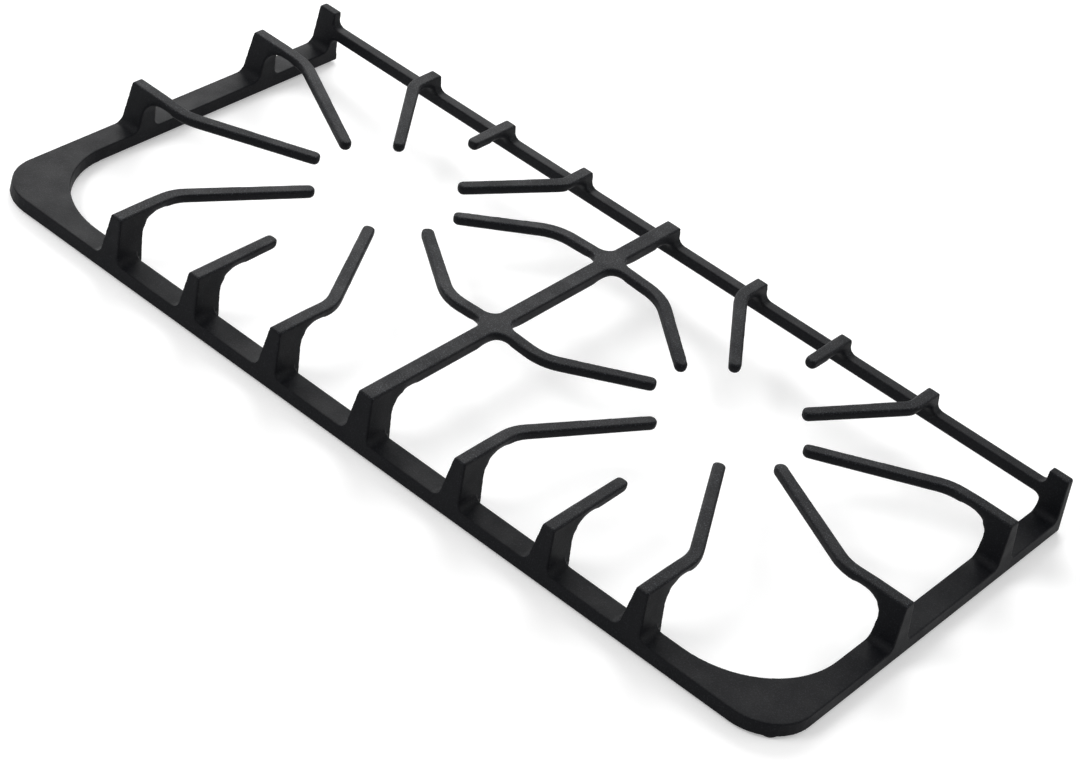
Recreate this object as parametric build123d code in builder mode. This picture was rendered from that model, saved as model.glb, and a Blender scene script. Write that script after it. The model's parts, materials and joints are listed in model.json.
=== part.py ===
"""Two-burner hob pan support: one iron casting that stands on four push-in rubber feet."""
import os
from math import cos, radians, sin, sqrt, tan

from build123d import *

# Overall size, in millimetres
length = 560.0
width = 270.0
casting_height = 35.0
foot_stand = 1.6

# Low frame on three sides, measured at its foot
frame_width = 16.3
frame_height = 7.8
near_corner_radius = 29.0
gusset_radius = 55.0

# Mould draft, in degrees
outer_draft = 4.5
side_draft = 6.5

# Burners: distance from each other and from the back, circle that the finger tips reach
burner_pitch = 250.0
burner_inset = 113.15
tip_circle_radius = 43.0
near_tip_angle = 60.0
far_tip_angle = 57.0
end_tip_angle = 15.5

# Fingers round a burner: spacing along the length and between the two rows at its ends
finger_pitch = 60.0
row_pitch = 100.3

# Section of a finger
finger_width = 7.6
finger_tip_width = 7.0
tip_corner_radius = 2.5
finger_depth = 6.2
underside_chamfer = 1.8
top_chamfer = 0.6
bend_radius = 28.0
far_bend_radius = 14.0

# Fall of the bent fingers from their posts to their tips, after a short level start
finger_fall = 3.3
level_start = 1.0

# Straight runs before the bends, from the frame's outer foot or from the centre line
near_run = 47.1
far_run = 23.5
end_run = 43.2
centre_near_run = 34.0
centre_far_run = 38.4

# Short fingers on a burner's own line, from the frame's outer foot
near_short_length = 64.5
far_short_length = 39.5
short_drop = 1.5

# Posts and the webs behind them
near_web = 20.1
end_web = 15.4
arch_radius = 9.5
post_fillet = 5.0
pad_fillet = 3.0
pad_sink = 0.5
skirt_share = 1.5

# Raised rail along the back, and its end posts' corners at the top
rail_drop = 10.0
rail_height = 7.7
rail_width = 6.8
rail_fillet = 4.5
rail_arch_radius = 5.0
rail_chamfer = 1.4
far_corner_radius = 1.25

# Bar between the burners
bar_width = 9.8
bar_depth = 8.0
crossing_fillet = 7.5
crossing_sink = 0.15

# Rubber feet
foot_diameter = 10.0
foot_margin = 0.8
stem_diameter = 5.0
stem_length = 5.0
stem_clearance = 0.1

# Levels and lines that follow from the sizes above
base = foot_stand
top = base + casting_height
half_length = length / 2
half_width = width / 2
side_slope = tan(radians(side_draft))
frame_top_width = frame_width - frame_height * side_slope
far_foot_radius = far_corner_radius + casting_height * tan(radians(outer_draft))
rail_level = casting_height - rail_drop
rail_low = rail_level - rail_height
rail_middle = rail_level - rail_height / 2
rail_depth = rail_level * tan(radians(outer_draft)) + rail_width
burner_x = burner_pitch / 2
burner_y = half_width - burner_inset
near_row_y = burner_y - row_pitch / 2
far_row_y = burner_y + row_pitch / 2
short_height = casting_height - short_drop
pad_depth = near_web - pad_sink
skirt_top = frame_height + skirt_share * post_fillet
rail_skirt_top = rail_level + skirt_share * rail_fillet
near_root = -half_width + near_web + arch_radius
far_root = half_width - rail_depth - rail_arch_radius
end_root = -half_length + end_web + arch_radius
long_post = (finger_width, casting_height)
short_post = (finger_width, short_height)
bar_post = (bar_width, casting_height)

# How near to a level a point counts as on it, and how far a flat face may tilt, in degrees
touch = 0.01
flat_angle = 25.0

# Outer faces, overrun so that the envelope trims them: seen from outside, second axis up from the foot
overrun = 5.0
outer_length = length + 2 * overrun
outer_width = width + 2 * overrun
near_face = Plane(origin=(0, -outer_width / 2, base), x_dir=(1, 0, 0), z_dir=(0, -1, 0))
far_face = Plane(origin=(0, outer_width / 2, base), x_dir=(-1, 0, 0), z_dir=(0, 1, 0))
left_face = Plane(origin=(-outer_length / 2, 0, base), x_dir=(0, -1, 0), z_dir=(-1, 0, 0))


def post_face(place, crown, height, low=0.0, cut=None):
    """Front view of one post: drafted sides, from a low level up to its top or to a lower cut."""
    cut = cut or height
    foot = place - crown / 2 - (height - low) * side_slope
    shoulder = place - crown / 2 - (height - cut) * side_slope
    return Polygon(
        (foot, low), (2 * place - foot, low), (2 * place - shoulder, cut), (shoulder, cut), align=None
    )


def inner_corners(view, level, span):
    """Corners of a front view at one level, leaving out those at the ends of its span."""
    return view.vertices().filter_by(
        lambda spot: abs(spot.Y - level) < touch and abs(spot.X) < span / 2 - touch
    )


def web(face, place, post, reach, arch, depth, low=0.0):
    """Upright web behind one post, arched into the finger that it carries."""
    side_view = Plane(face.origin, x_dir=-face.z_dir, z_dir=face.x_dir)
    crown, height = post
    with BuildPart() as piece:
        with BuildSketch(face) as front:
            post_face(place, crown, height, low)
            chamfer(front.vertices().group_by(Axis.Y)[-1], length=top_chamfer)
        extrude(amount=-overrun - reach - arch)
        with BuildSketch(side_view) as space:
            with Locations((overrun + reach, low)):
                Rectangle(2 * arch, height - depth - low, align=Align.MIN)
            fillet(space.vertices().group_by(Axis.X)[0].sort_by(Axis.Y)[-1], radius=arch)
        extrude(amount=length, both=True, mode=Mode.SUBTRACT)
    return piece.part


def meet(point, along, other, other_along):
    """Point where two lines in plan cross."""
    return point + along * ((other - point).cross(other_along).Z / along.cross(other_along).Z)


def finger(root, tip, level, bend=None, radius=bend_radius, flare=0.0):
    """One finger: chamfered rims, narrowing to a blunt tip; with a bend it turns and falls to the tip."""
    root, tip = Vector(*root), Vector(*tip)
    fall = finger_fall if bend else 0.0
    bend = Vector(*bend) if bend else (root + tip) / 2
    run = (bend - root).normalized()
    reach = (tip - bend).normalized()
    turn = run.cross(reach).Z
    sides = []
    for hand in (1, -1):
        run_side = run.rotate(Axis.Z, 90 * hand)
        reach_side = reach.rotate(Axis.Z, 90 * hand)
        start = root + run_side * finger_width / 2
        end = tip + reach_side * finger_tip_width / 2
        points, radii = [start, end], [tip_corner_radius]
        if fall:
            aim = end - bend - reach_side * finger_width / 2
            points.insert(1, meet(start, run, end, aim))
            radii.insert(0, radius - hand * (turn / abs(turn)) * finger_width / 2)
        if flare:
            points.insert(0, start + run_side * (flare + crossing_sink))
            radii.insert(0, flare)
        sides.append((points, radii))
    (left, left_radii), (right, right_radii) = sides
    closing = [left[0], right[0]]
    if flare:
        closing[1:1] = [left[0] - run * finger_width / 2, right[0] - run * finger_width / 2]
    hinge = flare + level_start
    span = (tip - root).dot(run)
    end = span + finger_width
    low = fall * (end - hinge) / (span - hinge)
    with BuildPart() as piece:
        with BuildSketch(Plane.XY.offset(level)):
            with BuildLine():
                FilletPolyline(*left, *reversed(right), radius=left_radii + right_radii[::-1])
                Polyline(*closing)
            make_face()
        extrude(amount=-finger_depth - low)
        with BuildSketch(Plane((root.X, root.Y, level), x_dir=run, z_dir=run.cross(Vector(0, 0, 1)))):
            upper = [(-finger_width, 0), (hinge, 0), (end, -low)]
            lower = [(x, z - finger_depth) for x, z in reversed(upper)]
            Polygon(*upper, *lower, align=None)
        extrude(amount=length, both=True, mode=Mode.INTERSECT)
        flat = cos(radians(flat_angle))
        for rim, cut in ((-1, underside_chamfer), (1, top_chamfer)):
            flats = piece.faces().filter_by(lambda face: rim * face.normal_at().Z > flat)

            def on_rim(edge):
                place = (edge.center() - root).dot(run)
                return place > touch and abs(place - hinge) > touch

            chamfer(flats.edges().filter_by(on_rim), length=cut)
    return piece.part


def tip(angle):
    """End of a finger on the left burner's tip circle, by its direction from the burner's centre."""
    return (
        -burner_x + tip_circle_radius * cos(radians(angle)),
        burner_y + tip_circle_radius * sin(radians(angle)),
    )


# Envelope: drafted outer faces and soft upper edges that the whole casting shares
with BuildPart() as envelope:
    with BuildSketch(Plane.XY.offset(base)) as outline:
        Rectangle(length, width)
        fillet(outline.vertices().group_by(Axis.Y)[0], radius=near_corner_radius)
        fillet(outline.vertices().group_by(Axis.Y)[-1], radius=far_foot_radius)
    extrude(amount=casting_height, taper=outer_draft)
    chamfer(envelope.edges().group_by(Axis.Z)[-1], length=top_chamfer)

# Posts of the two long sides, by their place along the length
side_posts = [(0, bar_post), (-burner_x, short_post), (burner_x, short_post)]
for place in (burner_x - finger_pitch, burner_x + finger_pitch):
    side_posts += [(-place, long_post), (place, long_post)]

# Low frame: a plate open at the back, with wide gussets in the near corners and pads under the webs
with BuildPart() as frame:
    with BuildSketch(Plane.XY.offset(base)):
        Rectangle(outer_length, outer_width)
    extrude(amount=frame_height)
    with BuildSketch(Plane.XY.offset(base)) as opening:
        with Locations((0, overrun + frame_width)):
            Rectangle(length - 2 * frame_width, outer_width)
        fillet(opening.vertices().group_by(Axis.Y)[0], radius=gusset_radius)
    extrude(amount=frame_height, taper=-side_draft, mode=Mode.SUBTRACT)
    with BuildSketch(Plane.XY.offset(base)) as pads:
        with Locations((0, -half_width)):
            Rectangle(length, frame_top_width, align=(Align.CENTER, Align.MIN))
        for place, (crown, height) in side_posts:
            with Locations((place, -half_width)):
                pad = crown + 2 * height * side_slope - 2 * pad_sink
                Rectangle(pad, pad_depth, align=(Align.CENTER, Align.MIN))
        fillet(inner_corners(pads, frame_top_width - half_width, length), radius=pad_fillet)
    extrude(amount=frame_height)

# Near side: skirts that flare the posts into the frame
with BuildPart() as near_side:
    with BuildSketch(near_face) as near_view:
        Rectangle(outer_length, frame_height, align=(Align.CENTER, Align.MIN))
        for place, (crown, height) in side_posts:
            post_face(place, crown, height, cut=skirt_top)
        fillet(inner_corners(near_view, frame_height, outer_length), radius=post_fillet)
    extrude(amount=-overrun - frame_top_width)

# Left end: skirts of its two posts and of the corner post
with BuildPart() as left_end:
    with BuildSketch(left_face) as end_view:
        Rectangle(outer_width, frame_height, align=(Align.CENTER, Align.MIN))
        for row in (near_row_y, far_row_y):
            post_face(-row, *long_post, cut=skirt_top)
        with Locations((-outer_width / 2, 0)):
            Rectangle(overrun + rail_depth, skirt_top, align=Align.MIN)
        fillet(inner_corners(end_view, frame_height, outer_width), radius=post_fillet)
    extrude(amount=-overrun - frame_top_width)

# Far side: the rail, the skirts of its posts and the two corner posts
with BuildPart() as far_side:
    with BuildSketch(far_face) as far_view:
        with Locations((0, rail_low)):
            Rectangle(outer_length, rail_height, align=(Align.CENTER, Align.MIN))
        for place, (crown, height) in side_posts:
            post_face(place, crown, height, rail_low, cut=rail_skirt_top)
        with Locations((-outer_length / 2, 0)):
            Rectangle(overrun + frame_top_width, casting_height, align=Align.MIN)
        with Locations((outer_length / 2, 0)):
            Rectangle(overrun + frame_top_width, casting_height, align=(Align.MAX, Align.MIN))
        fillet(inner_corners(far_view, rail_low, outer_length), radius=rail_fillet)
        fillet(inner_corners(far_view, rail_level, outer_length), radius=rail_fillet)
    extrude(amount=-overrun - rail_depth)
    lower_edge = far_side.faces().sort_by(Axis.Y)[0].edges().filter_by(Axis.X)
    level = base + rail_low
    chamfer(lower_edge.filter_by_position(Axis.Z, level - touch, level + touch), length=rail_chamfer)

# Bar between the burners, from the near web to the far web
with BuildPart() as centre_bar:
    with BuildSketch(Plane(origin=(0, near_root, top), x_dir=(1, 0, 0), z_dir=(0, 1, 0))) as section:
        Rectangle(bar_width, bar_depth, align=(Align.CENTER, Align.MIN))
        chamfer(section.vertices().group_by(Axis.Y)[0], length=top_chamfer)
        chamfer(section.vertices().group_by(Axis.Y)[-1], length=underside_chamfer)
    extrude(amount=far_root - near_root)
bar_webs = [
    web(near_face, 0, bar_post, near_web, arch_radius, bar_depth),
    web(far_face, 0, bar_post, rail_depth, rail_arch_radius, bar_depth, rail_middle),
]

# Webs and fingers of the left half, round its burner
left_half = [left_end.part]
for side in (-1, 1):
    place = -burner_x + side * finger_pitch
    near_lean = side * (90 - near_tip_angle)
    far_lean = side * (90 - far_tip_angle)
    left_half += [
        web(near_face, place, long_post, near_web, arch_radius, finger_depth),
        finger((place, near_root), tip(near_lean - 90), top, bend=(place, near_run - half_width)),
        web(far_face, -place, long_post, rail_depth, rail_arch_radius, finger_depth, rail_middle),
        finger((place, far_root), tip(90 - far_lean), top, (place, half_width - far_run), far_bend_radius),
    ]
left_half += [
    web(near_face, -burner_x, short_post, near_web, arch_radius, finger_depth),
    finger((-burner_x, near_root), (-burner_x, near_short_length - half_width), top - short_drop),
    web(far_face, burner_x, short_post, rail_depth, rail_arch_radius, finger_depth, rail_middle),
    finger((-burner_x, far_root), (-burner_x, half_width - far_short_length), top - short_drop),
]
for row, centre_run, side in ((near_row_y, centre_near_run, -1), (far_row_y, centre_far_run, 1)):
    left_half += [
        web(left_face, -row, long_post, end_web, arch_radius, finger_depth),
        finger((end_root, row), tip(180 - side * end_tip_angle), top, bend=(end_run - half_length, row)),
        finger(
            (crossing_sink - bar_width / 2, row),
            tip(side * end_tip_angle),
            top,
            bend=(-centre_run, row),
            flare=crossing_fillet,
        ),
    ]

# Places of the feet: on the near corners' diagonals and at the far ends of the frame's legs
near_inset = near_corner_radius - (near_corner_radius - foot_margin - foot_diameter / 2) / sqrt(2)
foot_places = {
    "rubber_foot_near_left": (near_inset - half_length, near_inset - half_width),
    "rubber_foot_near_right": (half_length - near_inset, near_inset - half_width),
    "rubber_foot_far_left": (frame_width / 2 - half_length, half_width - foot_margin - foot_diameter / 2),
    "rubber_foot_far_right": (half_length - frame_width / 2, half_width - foot_margin - foot_diameter / 2),
}

with BuildPart() as grate_casting:
    for piece in [frame.part, near_side.part, far_side.part, centre_bar.part] + bar_webs + left_half:
        add(piece)
    add(envelope.part, mode=Mode.INTERSECT)
    split(bisect_by=Plane.YZ, keep=Keep.BOTTOM)
    mirror(about=Plane.YZ)
    for x, y in foot_places.values():
        with Locations((x, y, base)):
            Cylinder(
                stem_diameter / 2 + stem_clearance,
                stem_length + stem_clearance,
                align=(Align.CENTER, Align.CENTER, Align.MIN),
                mode=Mode.SUBTRACT,
            )

os.makedirs("parts", exist_ok=True)
grate_casting.part.label = "grate_casting"
export_step(grate_casting.part, "parts/grate_casting.step")

for name, (x, y) in foot_places.items():
    with BuildPart() as rubber_foot:
        with BuildSketch(Plane.XY):
            with Locations((x, y)):
                Circle(foot_diameter / 2)
        extrude(amount=foot_stand)
        with BuildSketch(Plane.XY.offset(base)):
            with Locations((x, y)):
                Circle(stem_diameter / 2)
        extrude(amount=stem_length)
    rubber_foot.part.label = name
    export_step(rubber_foot.part, f"parts/{name}.step")
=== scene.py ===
"""Looks of a two-burner hob pan support: cast surface, sandy enamel, rubber feet and a white studio."""
import json
from math import tau

import bmesh
import bpy
import numpy as np
from mathutils import Euler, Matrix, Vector


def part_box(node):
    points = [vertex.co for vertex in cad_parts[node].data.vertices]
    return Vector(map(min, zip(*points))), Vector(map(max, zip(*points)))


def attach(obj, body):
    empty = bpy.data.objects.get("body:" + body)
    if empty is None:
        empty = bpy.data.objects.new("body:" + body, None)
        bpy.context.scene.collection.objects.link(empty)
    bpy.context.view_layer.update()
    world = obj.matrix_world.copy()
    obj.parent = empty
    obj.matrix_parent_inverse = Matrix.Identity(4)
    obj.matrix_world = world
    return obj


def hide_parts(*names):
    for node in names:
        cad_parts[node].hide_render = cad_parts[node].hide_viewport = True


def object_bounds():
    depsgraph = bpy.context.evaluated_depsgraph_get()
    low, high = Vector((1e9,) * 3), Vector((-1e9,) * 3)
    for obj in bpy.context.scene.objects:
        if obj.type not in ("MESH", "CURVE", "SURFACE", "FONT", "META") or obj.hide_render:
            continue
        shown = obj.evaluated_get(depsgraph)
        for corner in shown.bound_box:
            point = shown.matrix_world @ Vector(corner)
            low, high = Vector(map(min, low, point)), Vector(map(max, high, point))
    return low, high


bl_info = {
    "name": "Hob pan support",
    "version": (1, 0, 0),
    "blender": (4, 5, 0),
    "location": "View3D > Sidebar > Pan support",
    "description": "Dresses the CAD frame of a cast-iron hob pan support",
    "category": "Object",
}

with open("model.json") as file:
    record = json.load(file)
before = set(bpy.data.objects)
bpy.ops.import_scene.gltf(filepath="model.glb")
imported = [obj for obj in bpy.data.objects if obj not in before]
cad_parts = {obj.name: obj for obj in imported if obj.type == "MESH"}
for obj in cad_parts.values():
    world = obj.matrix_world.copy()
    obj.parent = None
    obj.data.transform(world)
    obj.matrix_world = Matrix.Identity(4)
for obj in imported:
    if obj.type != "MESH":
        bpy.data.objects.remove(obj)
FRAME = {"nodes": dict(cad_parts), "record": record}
CAD_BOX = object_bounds()
FEET = sorted(name for name in FRAME["nodes"] if name.startswith("rubber_foot"))
BURNERS = [
    opening["box_m"] for opening in FRAME["record"]["physics"]["openings"]
    if opening["name"] in ("burner_left", "burner_right")
]
TINY = 0.00001
TURN_STEPS = 64
SENSOR_WIDTH = 36.0

# Share of the grid's cube that the casting fills.
GRID_FILL = 0.95
# Upward part of a normal: below these a face counts as upright, as an arch's side and as looking down.
UPRIGHT = 0.25
ARCH_SIDE = 0.3
DOWNWARD = -0.15
# Bend of a point beyond which it lies on an outer edge, and on the inner edge at an arch's end.
OUTER_BEND = -0.05
ARCH_BEND = 0.08
# How many rings of points the radius of an edge, and of an arch's end, is carried on into the faces.
EDGE_RINGS = 8
ARCH_RINGS = 18
# Share of the way that a point moves in one pass of rounding, and in one pass of evening out.
ROUND_STEP = 0.8
EVEN_STEP = 0.5
EVEN_PASSES = 2


def linear(colour):
    """Linear RGB of an sRGB hex colour."""
    channels = [int(colour[place:place + 2], 16) / 255 for place in (1, 3, 5)]
    return [c / 12.92 if c <= 0.04045 else ((c + 0.055) / 1.055) ** 2.4 for c in channels]


def add_node(tree, kind, settings=None, inputs=None):
    """Adds a node, sets its options and gives each input a value or a link."""
    node = tree.nodes.new(kind)
    for name, value in (settings or {}).items():
        setattr(node, name, value)
    for name, value in (inputs or {}).items():
        if isinstance(value, bpy.types.NodeSocket):
            tree.links.new(value, node.inputs[name])
        else:
            node.inputs[name].default_value = value
    return node


def new_material(name):
    """An empty node material, and its tree."""
    material = bpy.data.materials.new(name)
    material.use_nodes = True
    material.node_tree.nodes.clear()
    return material, material.node_tree


class CastingSettings(bpy.types.PropertyGroup):
    """Sizes and finish of the iron casting."""

    grid_depth: bpy.props.IntProperty(
        name="Grid depth",
        description="How often the casting's length is halved for the grid of its surface",
        default=10, min=7, max=11,
    )
    inner_radius: bpy.props.FloatProperty(
        name="Inner radius", description="Rounding where posts, webs and fingers run into each other",
        default=0.0025, min=0.0005, max=0.006, precision=4, unit="LENGTH",
    )
    arch_radius: bpy.props.FloatProperty(
        name="Arch radius",
        description="Inner rounding where the arch of a web runs out under its finger",
        default=0.02, min=0.0005, max=0.03, precision=4, unit="LENGTH",
    )
    arch_edge_radius: bpy.props.FloatProperty(
        name="Arch edge radius",
        description="Outer rounding where the arch of a web runs out under its finger",
        default=0.008, min=0.0005, max=0.03, precision=4, unit="LENGTH",
    )
    arch_height: bpy.props.FloatProperty(
        name="Arch height",
        description="Height above which the arches run out under the fingers and the bar",
        default=0.018, min=0.0, max=0.04, precision=4, unit="LENGTH",
    )
    rail_reach: bpy.props.FloatProperty(
        name="Rail reach",
        description="How far in from the back the posts keep their crisp joints with the rail",
        default=0.02, min=0.0, max=0.1, precision=3, unit="LENGTH",
    )
    top_radius: bpy.props.FloatProperty(
        name="Top radius", description="Rounding of the upper edges of the frame, the posts and the bar",
        default=0.0008, min=0.0002, max=0.004, precision=4, unit="LENGTH",
    )
    upright_radius: bpy.props.FloatProperty(
        name="Upright radius", description="Rounding of the upright edges of the posts and webs",
        default=0.0012, min=0.0002, max=0.004, precision=4, unit="LENGTH",
    )
    underside_radius: bpy.props.FloatProperty(
        name="Underside radius",
        description="Rounding of the edges under the fingers and inside the arches",
        default=0.0022, min=0.0002, max=0.004, precision=4, unit="LENGTH",
    )
    finger_radius: bpy.props.FloatProperty(
        name="Finger radius", description="Rounding of the fingers' upper edges",
        default=0.0014, min=0.0002, max=0.004, precision=4, unit="LENGTH",
    )
    finger_reach: bpy.props.FloatProperty(
        name="Finger reach", description="How far from a burner's middle the edges count as a finger's",
        default=0.085, min=0.03, max=0.12, precision=3, unit="LENGTH",
    )
    tip_radius: bpy.props.FloatProperty(
        name="Tip radius", description="Rounding of the upright edges of the finger tips",
        default=0.0036, min=0.0002, max=0.005, precision=4, unit="LENGTH",
    )
    tip_reach: bpy.props.FloatProperty(
        name="Tip reach", description="How far from a burner's middle the edges count as a finger tip's",
        default=0.056, min=0.03, max=0.12, precision=3, unit="LENGTH",
    )
    passes: bpy.props.IntProperty(
        name="Passes", description="How often the points move towards these radii",
        default=80, min=0, max=200,
    )
    arch_passes: bpy.props.IntProperty(
        name="Arch passes", description="How often the ends of the arches even out after that",
        default=40, min=0, max=200,
    )
    triangles: bpy.props.IntProperty(
        name="Triangles", description="About how many triangles stay once the flat faces are thinned out",
        default=185000, min=20000, max=198000,
    )
    enamel: bpy.props.FloatVectorProperty(
        name="Enamel", description="Colour of the fired enamel", subtype="COLOR",
        default=linear("#0B0C0F"), min=0.0, max=1.0,
    )
    grains: bpy.props.FloatVectorProperty(
        name="Grains", description="Colour of the grains that stand proud", subtype="COLOR",
        default=linear("#3E4045"), min=0.0, max=1.0,
    )
    grain: bpy.props.FloatProperty(
        name="Grain", description="Size of the sand grains printed into the surface",
        default=0.0007, min=0.0002, max=0.005, precision=4, unit="LENGTH",
    )
    # Below this height the pale grain specks are held to a quarter: painted shade low on the casting.
    painted_shade_height: bpy.props.FloatProperty(
        name="Coat foot", description="Height up to which the enamel lies thick over the grain",
        default=0.02, min=0.0, max=0.04, precision=4, unit="LENGTH",
    )
    # Above this height the pale grain specks show as fully as the upward faces allow: painted highlight
    # high up.
    painted_light_height: bpy.props.FloatProperty(
        name="Coat top", description="Height from which the enamel lies thin over the grain",
        default=0.034, min=0.0, max=0.04, precision=4, unit="LENGTH",
    )
    unevenness: bpy.props.FloatProperty(
        name="Unevenness", description="Length of the slow waves of the mould's face",
        default=0.014, min=0.004, max=0.1, precision=3, unit="LENGTH",
    )


class FootSettings(bpy.types.PropertyGroup):
    """Shape and finish of the push-in feet."""

    rim_radius: bpy.props.FloatProperty(
        name="Rim radius", description="Rounding of the pad's and the stem's edges",
        default=0.0004, min=0.0001, max=0.0007, precision=4, unit="LENGTH",
    )
    dimple_radius: bpy.props.FloatProperty(
        name="Dimple radius", description="Radius of the hollow in the pad's underside",
        default=0.0022, min=0.0005, max=0.004, precision=4, unit="LENGTH",
    )
    dimple_depth: bpy.props.FloatProperty(
        name="Dimple depth", description="Depth of the hollow in the pad's underside",
        default=0.0006, min=0.0, max=0.0012, precision=4, unit="LENGTH",
    )
    rubber: bpy.props.FloatVectorProperty(
        name="Rubber", description="Colour of the moulded rubber", subtype="COLOR",
        default=linear("#131313"), min=0.0, max=1.0,
    )
    bloom: bpy.props.FloatVectorProperty(
        name="Bloom", description="Colour of the dusty bloom on the rubber", subtype="COLOR",
        default=linear("#242423"), min=0.0, max=1.0,
    )
    speckle: bpy.props.FloatProperty(
        name="Speckle", description="Size of the bloom's specks",
        default=0.0012, min=0.0002, max=0.01, precision=4, unit="LENGTH",
    )


class StageSettings(bpy.types.PropertyGroup):
    """Camera, lamps and floor."""

    camera_place: bpy.props.FloatVectorProperty(
        name="Camera place", description="Where the camera stands", subtype="TRANSLATION", unit="LENGTH",
        default=(0.68465, -1.09539, 0.95363), precision=4,
    )
    camera_turn: bpy.props.FloatVectorProperty(
        name="Camera turn", description="How the camera is turned", subtype="EULER", unit="ROTATION",
        default=(0.91335, -0.19957, 0.69887), precision=4,
    )
    lens: bpy.props.FloatProperty(
        name="Lens", description="Focal length on a sensor 36 mm wide", unit="CAMERA",
        default=97.27, min=10.0,
    )
    lens_shift: bpy.props.FloatVectorProperty(
        name="Lens shift", description="Shift of the view to the right and up, in widths of the frame",
        size=2, default=(0.002, -0.0008), precision=4,
    )
    sky_light: bpy.props.FloatProperty(
        name="Sky light", description="Strength of the even light from all round",
        default=0.52, min=0.0,
    )
    key_place: bpy.props.FloatVectorProperty(
        name="Key place", description="Where the large softbox behind on the left hangs",
        subtype="TRANSLATION", unit="LENGTH", default=(-1.35, 1.75, 1.35), precision=3,
    )
    key_size: bpy.props.FloatVectorProperty(
        name="Key size",
        description="Width and height of the large softbox behind on the left", unit="LENGTH",
        size=2, default=(1.5, 1.2), min=0.01, precision=2,
    )
    key_power: bpy.props.FloatProperty(
        name="Key power", description="Power of the large softbox behind on the left", unit="POWER",
        default=38.0, min=0.0,
    )
    fill_place: bpy.props.FloatVectorProperty(
        name="Fill place", description="Where the softbox in front on the left hangs",
        subtype="TRANSLATION", unit="LENGTH", default=(-0.92, -1.32, 1.5), precision=3,
    )
    fill_size: bpy.props.FloatVectorProperty(
        name="Fill size",
        description="Width and height of the softbox in front on the left", unit="LENGTH",
        size=2, default=(0.9, 0.6), min=0.01, precision=2,
    )
    fill_power: bpy.props.FloatProperty(
        name="Fill power", description="Power of the softbox in front on the left", unit="POWER",
        default=14.0, min=0.0,
    )
    side_place: bpy.props.FloatVectorProperty(
        name="Side place", description="Where the low softbox on the left hangs",
        subtype="TRANSLATION", unit="LENGTH", default=(-1.9, 0.5, 0.4), precision=3,
    )
    side_size: bpy.props.FloatVectorProperty(
        name="Side size", description="Width and height of the low softbox on the left", unit="LENGTH",
        size=2, default=(1.2, 0.5), min=0.01, precision=2,
    )
    side_power: bpy.props.FloatProperty(
        name="Side power", description="Power of the low softbox on the left", unit="POWER",
        default=20.0, min=0.0,
    )
    rim_place: bpy.props.FloatVectorProperty(
        name="Rim place", description="Where the softbox behind on the right hangs",
        subtype="TRANSLATION", unit="LENGTH", default=(1.4, 1.6, 0.97), precision=3,
    )
    rim_size: bpy.props.FloatVectorProperty(
        name="Rim size", description="Width and height of the softbox behind on the right", unit="LENGTH",
        size=2, default=(1.0, 0.6), min=0.01, precision=2,
    )
    rim_power: bpy.props.FloatProperty(
        name="Rim power", description="Power of the softbox behind on the right", unit="POWER",
        default=6.6, min=0.0,
    )
    floor: bpy.props.FloatVectorProperty(
        name="Floor", description="Colour of the paper floor", subtype="COLOR",
        default=linear("#EEEEEE"), min=0.0, max=1.0,
    )
    floor_lift: bpy.props.FloatProperty(
        name="Floor lift",
        description="Light added to the floor where it is seen, so that it turns white",
        default=0.3, min=0.0, max=1.0,
    )
    floor_reach: bpy.props.FloatProperty(
        name="Floor reach", description="How far the paper floor reaches to each side", unit="LENGTH",
        default=6.0, min=1.0,
    )


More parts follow.
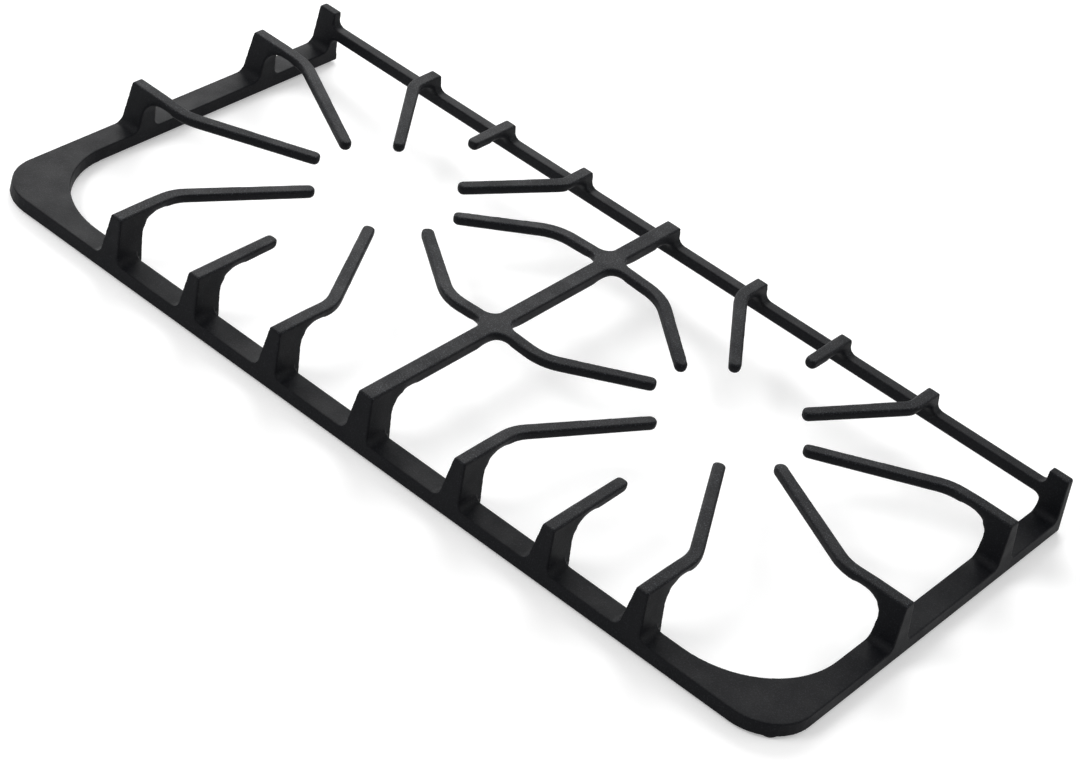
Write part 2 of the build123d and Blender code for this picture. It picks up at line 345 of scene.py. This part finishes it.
def sand_cast_enamel(look):
    """Matt black vitreous enamel, sprayed and fired on sand-cast iron.

    The sand leaves a fine grain of pale specks. How pale they show is painted light: they are paled
    most on the upward faces of the high fingers and posts as painted highlight, and held to a quarter
    low down and on sideways faces as painted shade. Broad faces wave a little, and the gloss is soft
    and broken. Real grains are about 0.3 mm; they are drawn coarser, as finer ones are lost in the
    render.
    """
    material, tree = new_material("Matt enamel on sand-cast iron")
    place = add_node(tree, "ShaderNodeTexCoord").outputs["Object"]
    grain = add_node(
        tree, "ShaderNodeTexNoise",
        inputs={"Vector": place, "Scale": 1 / look.grain, "Detail": 2.0, "Roughness": 0.6},
    ).outputs["Fac"]
    waves = add_node(
        tree, "ShaderNodeTexNoise",
        inputs={"Vector": place, "Scale": 1 / look.unevenness, "Detail": 2.0, "Roughness": 0.5},
    ).outputs["Fac"]
    height = add_node(tree, "ShaderNodeSeparateXYZ", inputs={"Vector": place}).outputs["Z"]
    facing = add_node(tree, "ShaderNodeNewGeometry").outputs["Normal"]
    upward = add_node(tree, "ShaderNodeSeparateXYZ", inputs={"Vector": facing}).outputs["Z"]
    # Upward faces show the pale grain specks most: painted highlight on the tops, and painted shade where
    # faces turn sideways or down.
    painted_top_light = add_node(
        tree, "ShaderNodeMapRange",
        inputs={"Value": upward, "From Min": 0.2, "From Max": 0.8, "To Min": 0.25, "To Max": 1.0},
    ).outputs["Result"]
    # Real grain everywhere at a quarter, raised towards the high upward faces as painted highlight and
    # held down low as painted shade.
    grain_and_painted_light = add_node(
        tree, "ShaderNodeMapRange",
        inputs={
            "Value": height, "From Min": look.painted_shade_height, "From Max": look.painted_light_height, "To Min": 0.25,
            "To Max": painted_top_light,
        },
    ).outputs["Result"]
    # Pale specks of the real grain, scaled by the painted highlight and painted shade above.
    specks = add_node(
        tree, "ShaderNodeMapRange",
        inputs={"Value": grain, "From Min": 0.53, "From Max": 0.76, "To Min": 0.0, "To Max": grain_and_painted_light},
    ).outputs["Result"]
    colour = add_node(
        tree, "ShaderNodeMix", {"data_type": "RGBA"},
        {0: specks, 6: (*look.enamel, 1.0), 7: (*look.grains, 1.0)},
    ).outputs[2]
    roughness = add_node(
        tree, "ShaderNodeMapRange",
        inputs={"Value": waves, "From Min": 0.3, "From Max": 0.7, "To Min": 0.48, "To Max": 0.6},
    ).outputs["Result"]
    slow = add_node(
        tree, "ShaderNodeBump", inputs={"Height": waves, "Strength": 0.35, "Distance": 0.0004},
    ).outputs["Normal"]
    surface = add_node(
        tree, "ShaderNodeBump",
        inputs={"Height": grain, "Strength": 0.6, "Distance": 0.00014, "Normal": slow},
    ).outputs["Normal"]
    shader = add_node(
        tree, "ShaderNodeBsdfPrincipled",
        inputs={
            "Base Color": colour, "Roughness": roughness, "IOR": 1.5, "Specular IOR Level": 0.085,
            "Normal": surface,
        },
    )
    add_node(tree, "ShaderNodeOutputMaterial", inputs={"Surface": shader.outputs["BSDF"]})
    return material


def moulded_rubber(look):
    """Black nitrile rubber, moulded: dull, with a faint dusty bloom in specks."""
    material, tree = new_material("Moulded nitrile rubber")
    place = add_node(tree, "ShaderNodeTexCoord").outputs["Object"]
    specks = add_node(
        tree, "ShaderNodeTexNoise", inputs={"Vector": place, "Scale": 1 / look.speckle, "Detail": 3.0},
    ).outputs["Fac"]
    colour = add_node(
        tree, "ShaderNodeMix", {"data_type": "RGBA"},
        {0: specks, 6: (*look.rubber, 1.0), 7: (*look.bloom, 1.0)},
    ).outputs[2]
    surface = add_node(
        tree, "ShaderNodeBump", inputs={"Height": specks, "Strength": 0.3, "Distance": 0.00008},
    ).outputs["Normal"]
    shader = add_node(
        tree, "ShaderNodeBsdfPrincipled",
        inputs={"Base Color": colour, "Roughness": 0.75, "IOR": 1.52, "Normal": surface},
    )
    add_node(tree, "ShaderNodeOutputMaterial", inputs={"Surface": shader.outputs["BSDF"]})
    return material


def seen_directly(tree):
    """Light Path factor: 1 for rays from the camera, a reflection or glass, 0 for rays of light."""
    path = add_node(tree, "ShaderNodeLightPath").outputs
    either = add_node(
        tree, "ShaderNodeMath", {"operation": "MAXIMUM"},
        {0: path["Is Camera Ray"], 1: path["Is Glossy Ray"]},
    ).outputs[0]
    return add_node(
        tree, "ShaderNodeMath", {"operation": "MAXIMUM"}, {0: either, 1: path["Is Transmission Ray"]},
    ).outputs[0]


def white_paper(look):
    """Seamless white paper: pale grey to the lamps and lifted to white where it is seen.

    Only the grey share can fall into shadow, so shadows stay soft and close to the object.
    """
    material, tree = new_material("Seamless white paper")
    paper = add_node(tree, "ShaderNodeBsdfDiffuse", inputs={"Color": (*look.floor, 1.0)})
    lift = add_node(
        tree, "ShaderNodeMath", {"operation": "MULTIPLY"}, {0: seen_directly(tree), 1: look.floor_lift},
    ).outputs[0]
    glow = add_node(tree, "ShaderNodeEmission", inputs={"Strength": lift})
    both = add_node(tree, "ShaderNodeAddShader", inputs={0: paper.outputs[0], 1: glow.outputs[0]})
    add_node(tree, "ShaderNodeOutputMaterial", inputs={"Surface": both.outputs[0]})
    return material


def take_shape(piece):
    """Makes the shape that the modifiers give a piece its own mesh."""
    shaped = bpy.data.meshes.new_from_object(piece.evaluated_get(bpy.context.evaluated_depsgraph_get()))
    piece.modifiers.clear()
    old, piece.data = piece.data, shaped
    bpy.data.meshes.remove(old)


def regrid(piece, depth):
    """Replaces a piece's mesh by small quads that keep its edges."""
    modifier = piece.modifiers.new("Grid", "REMESH")
    modifier.mode = "SHARP"
    modifier.octree_depth = depth
    modifier.scale = GRID_FILL
    modifier.use_remove_disconnected = False
    take_shape(piece)


class PointNet:
    """The points of a mesh with the edges between them, for moving points by their neighbours."""

    def __init__(self, mesh):
        self.mesh = mesh
        self.points = np.empty(len(mesh.vertices) * 3, np.float32)
        mesh.vertices.foreach_get("co", self.points)
        self.points = self.points.reshape(-1, 3)
        ends = np.empty(len(mesh.edges) * 2, np.int32)
        mesh.edges.foreach_get("vertices", ends)
        self.first, self.second = ends[0::2], ends[1::2]
        self.count = np.bincount(ends, minlength=len(self.points))

    def mean(self, at_second, at_first):
        """Mean over each point's neighbours of a value given at both ends of every edge."""
        total = len(self.points)
        summed = np.bincount(self.first, at_second, total) + np.bincount(self.second, at_first, total)
        return summed / self.count

    def to_neighbours(self):
        """From each point to the middle of its neighbours."""
        columns = [self.mean(axis[self.second], axis[self.first]) for axis in self.points.T]
        return np.stack(columns, axis=1) - self.points

    def normals(self):
        """Outward normal at each point."""
        normals = np.empty(len(self.points) * 3, np.float32)
        self.mesh.vertex_normals.foreach_get("vector", normals)
        return normals.reshape(-1, 3)

    def carry(self, values, rings):
        """Gives points with no value the largest value beside them, ring by ring."""
        for _ in range(rings):
            beside = np.zeros_like(values)
            np.maximum.at(beside, self.first, values[self.second])
            np.maximum.at(beside, self.second, values[self.first])
            values = np.where(values > 0.0, values, beside)
        return values

    def move(self, steps):
        """Moves the points by their steps."""
        self.points += steps
        self.mesh.vertices.foreach_set("co", self.points.ravel())


def edge_radii(net, look, bend, foot):
    """Radii that the casting's outer and inner edges have at each point, carried on into the faces.

    The bend is how far a point stands back from its neighbours, as a share of the way to them.
    """
    facing = net.normals()[:, 2]
    middles = [(np.array(low[:2]) + np.array(high[:2])) / 2 for low, high in BURNERS]
    reach = np.min([np.linalg.norm(net.points[:, :2] - middle, axis=1) for middle in middles], axis=0)
    top = np.where(reach < look.finger_reach, look.finger_radius, look.top_radius)
    upright = np.where(reach < look.tip_reach, look.tip_radius, look.upright_radius)
    raised = net.points[:, 2] > foot
    outer = np.where(facing < UPRIGHT, np.where(raised, upright, look.top_radius), top)
    outer[raised & (facing < DOWNWARD)] = look.underside_radius
    outer[bend > OUTER_BEND] = 0.0
    off_rail = net.points[:, 1] < CAD_BOX[1].y - look.rail_reach
    steepest = np.where(off_rail, ARCH_SIDE, DOWNWARD)
    arch_end = (net.points[:, 2] > look.arch_height) & (facing < steepest) & (bend > ARCH_BEND)
    inner = net.carry(np.where(arch_end, look.arch_radius, 0.0), ARCH_RINGS)
    outer[(inner > 0.0) & (outer > 0.0) & (facing < UPRIGHT)] = look.arch_edge_radius
    outer = net.carry(outer, EDGE_RINGS)
    outer = np.where(outer > 0.0, outer, look.top_radius)
    inner = np.where(inner > 0.0, inner, look.inner_radius)
    return outer, inner


def soften(mesh, look, holes):
    """Rounds the edges as sand and enamel do, but leaves the boxes of the foot holes.

    A point that lies deeper or stands prouder over its neighbours than it would on the edge's own
    radius moves along its normal. Then the ends of the arches even out, and at the end all points do,
    a little.
    """
    net = PointNet(mesh)
    lengths = ((net.points[net.first] - net.points[net.second]) ** 2).sum(axis=1)
    spread = net.mean(lengths, lengths)
    share = np.ones((len(net.points), 1), np.float32)
    for low, high in holes:
        above = net.points > np.array(low) - look.top_radius
        below = net.points < np.array(high) + look.top_radius
        share[(above & below).all(axis=1)] = 0.0
    foot = max(high.z for low, high in holes)
    normals = net.normals()
    depth = (net.to_neighbours() * normals).sum(axis=1)
    outer, inner = edge_radii(net, look, depth / np.sqrt(spread), foot)
    arch_ends = share * ((inner > look.inner_radius) & (normals[:, 2] < UPRIGHT))[:, None]
    # A neighbour across an edge lies lower by its distance squared over twice the radius, and half do.
    least = -spread / (4 * outer)
    most = spread / (4 * inner)
    for _ in range(look.passes):
        normals = net.normals()
        depth = (net.to_neighbours() * normals).sum(axis=1)
        over = depth - np.clip(depth, least, most)
        net.move(ROUND_STEP * share * over[:, None] * normals)
    for _ in range(look.arch_passes):
        net.move(EVEN_STEP * arch_ends * net.to_neighbours())
    for _ in range(EVEN_PASSES):
        net.move(EVEN_STEP * share * net.to_neighbours())
    mesh.update()


def thin_out(piece, triangles):
    """Leaves fewer triangles where a piece is flat."""
    modifier = piece.modifiers.new("Thin out", "DECIMATE")
    modifier.ratio = min(1.0, triangles / (2 * len(piece.data.polygons)))
    take_shape(piece)


def keep_inside(mesh, low, high):
    """Holds every point of a mesh inside a box."""
    points = np.empty(len(mesh.vertices) * 3, np.float32)
    mesh.vertices.foreach_get("co", points)
    mesh.vertices.foreach_set("co", np.clip(points.reshape(-1, 3), low, high).ravel())
    mesh.update()


def turn(name, outline, middle):
    """A turned piece: an outline of radii and heights, spun once round an upright line."""
    form = bmesh.new()
    points = [form.verts.new((middle.x + radius, middle.y, height)) for radius, height in outline]
    edges = [form.edges.new(pair) for pair in zip(points, points[1:])]
    bmesh.ops.spin(form, geom=points + edges, cent=middle, axis=(0, 0, 1), angle=tau, steps=TURN_STEPS)
    bmesh.ops.remove_doubles(form, verts=form.verts, dist=TINY)
    bmesh.ops.recalc_face_normals(form, faces=form.faces)
    mesh = bpy.data.meshes.new(name)
    form.to_mesh(mesh)
    form.free()
    mesh.shade_smooth()
    return bpy.data.objects.new(name, mesh)


class PANSUPPORT_OT_casting(bpy.types.Operator):
    """Make the iron casting with soft edges from its CAD solid"""

    bl_idname = "pan_support.casting"
    bl_label = "Casting"

    def execute(self, context):
        look = context.scene.pan_support_casting
        node = FRAME["nodes"]["grate_casting"]
        piece = bpy.data.objects.new("cast_grate", node.data.copy())
        context.scene.collection.objects.link(piece)
        regrid(piece, look.grid_depth)
        soften(piece.data, look, [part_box(name) for name in FEET])
        thin_out(piece, look.triangles)
        keep_inside(piece.data, *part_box("grate_casting"))
        piece.data.materials.clear()
        piece.data.materials.append(sand_cast_enamel(look))
        piece.data.shade_smooth()
        piece.modifiers.new("Flat faces lead", "WEIGHTED_NORMAL")
        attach(piece, "root")
        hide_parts("grate_casting")
        return {"FINISHED"}


class PANSUPPORT_OT_feet(bpy.types.Operator):
    """Turn the four rubber feet, with a dimple underneath and soft rims"""

    bl_idname = "pan_support.feet"
    bl_label = "Rubber feet"

    def execute(self, context):
        look = context.scene.pan_support_foot
        rubber = moulded_rubber(look)
        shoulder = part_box("grate_casting")[0].z
        for name in FEET:
            low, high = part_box(name)
            middle = (low + high) / 2
            pad = (high.x - low.x) / 2
            corners = [corner.co for corner in FRAME["nodes"][name].data.vertices]
            stem = max((corner.xy - middle.xy).length for corner in corners if corner.z > shoulder + TINY)
            outline = [
                (0.0, low.z + look.dimple_depth),
                (look.dimple_radius - look.dimple_depth, low.z + look.dimple_depth),
                (look.dimple_radius, low.z),
                (pad, low.z),
                (pad, shoulder),
                (stem, shoulder),
                (stem, high.z),
                (0.0, high.z),
            ]
            piece = turn(name.replace("rubber", "push_in"), outline, middle)
            piece.data.materials.append(rubber)
            context.scene.collection.objects.link(piece)
            rims = piece.modifiers.new("Rims", "BEVEL")
            rims.width = look.rim_radius
            rims.segments = 3
            rims.limit_method = "ANGLE"
            piece.modifiers.new("Flat faces lead", "WEIGHTED_NORMAL")
            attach(piece, "root")
            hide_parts(name)
        return {"FINISHED"}


class PANSUPPORT_OT_stage(bpy.types.Operator):
    """Set up the camera, the softboxes, the sky and the paper floor"""

    bl_idname = "pan_support.stage"
    bl_label = "Studio"

    def execute(self, context):
        look = context.scene.pan_support_stage
        scene = context.scene
        scene.view_settings.view_transform = "Standard"

        lens = bpy.data.cameras.new("photo_camera")
        lens.lens = look.lens
        lens.sensor_width = SENSOR_WIDTH
        lens.sensor_fit = "HORIZONTAL"
        lens.shift_x, lens.shift_y = look.lens_shift
        camera = bpy.data.objects.new("photo_camera", lens)
        camera.location = look.camera_place
        camera.rotation_euler = Euler(look.camera_turn)
        scene.collection.objects.link(camera)
        scene.camera = camera

        for name, power, size, place in (
            ("key_softbox", look.key_power, look.key_size, look.key_place),
            ("fill_softbox", look.fill_power, look.fill_size, look.fill_place),
            ("side_softbox", look.side_power, look.side_size, look.side_place),
            ("rim_softbox", look.rim_power, look.rim_size, look.rim_place),
        ):
            lamp = bpy.data.lights.new(name, "AREA")
            lamp.shape = "RECTANGLE"
            lamp.size, lamp.size_y = size
            lamp.energy = power
            softbox = bpy.data.objects.new(name, lamp)
            softbox.location = place
            softbox.rotation_euler = (-Vector(place)).to_track_quat("-Z", "Y").to_euler()
            scene.collection.objects.link(softbox)

        world = bpy.data.worlds.new("White studio")
        scene.world = world
        world.use_nodes = True
        tree = world.node_tree
        tree.nodes.clear()
        strength = add_node(
            tree, "ShaderNodeMapRange",
            inputs={"Value": seen_directly(tree), "To Min": look.sky_light, "To Max": 1.0},
        ).outputs["Result"]
        sky = add_node(
            tree, "ShaderNodeBackground", inputs={"Color": (1.0, 1.0, 1.0, 1.0), "Strength": strength},
        )
        add_node(tree, "ShaderNodeOutputWorld", inputs={"Surface": sky.outputs[0]})

        reach = look.floor_reach
        sheet = bpy.data.meshes.new("paper_floor")
        corners = [(-reach, -reach, 0), (reach, -reach, 0), (reach, reach, 0), (-reach, reach, 0)]
        sheet.from_pydata(corners, [], [(0, 1, 2, 3)])
        sheet.materials.append(white_paper(look))
        floor = bpy.data.objects.new("paper_floor", sheet)
        scene.collection.objects.link(floor)
        return {"FINISHED"}


class PANSUPPORT_PT_panel(bpy.types.Panel):
    """The pieces of the pan support and their settings."""

    bl_idname = "PANSUPPORT_PT_panel"
    bl_label = "Pan support"
    bl_space_type = "VIEW_3D"
    bl_region_type = "UI"
    bl_category = "Pan support"

    def draw(self, context):
        for operator, settings in (
            (PANSUPPORT_OT_casting, context.scene.pan_support_casting),
            (PANSUPPORT_OT_feet, context.scene.pan_support_foot),
            (PANSUPPORT_OT_stage, context.scene.pan_support_stage),
        ):
            box = self.layout.box()
            box.operator(operator.bl_idname)
            for name in settings.__annotations__:
                box.prop(settings, name)


CLASSES = (
    CastingSettings,
    FootSettings,
    StageSettings,
    PANSUPPORT_OT_casting,
    PANSUPPORT_OT_feet,
    PANSUPPORT_OT_stage,
    PANSUPPORT_PT_panel,
)


def register():
    for cls in CLASSES:
        bpy.utils.register_class(cls)
    bpy.types.Scene.pan_support_casting = bpy.props.PointerProperty(type=CastingSettings)
    bpy.types.Scene.pan_support_foot = bpy.props.PointerProperty(type=FootSettings)
    bpy.types.Scene.pan_support_stage = bpy.props.PointerProperty(type=StageSettings)


def unregister():
    del bpy.types.Scene.pan_support_stage
    del bpy.types.Scene.pan_support_foot
    del bpy.types.Scene.pan_support_casting
    for cls in reversed(CLASSES):
        bpy.utils.unregister_class(cls)


def main():
    register()
    bpy.ops.pan_support.casting()
    bpy.ops.pan_support.feet()
    bpy.ops.pan_support.stage()


if __name__ == "__main__":
    main()
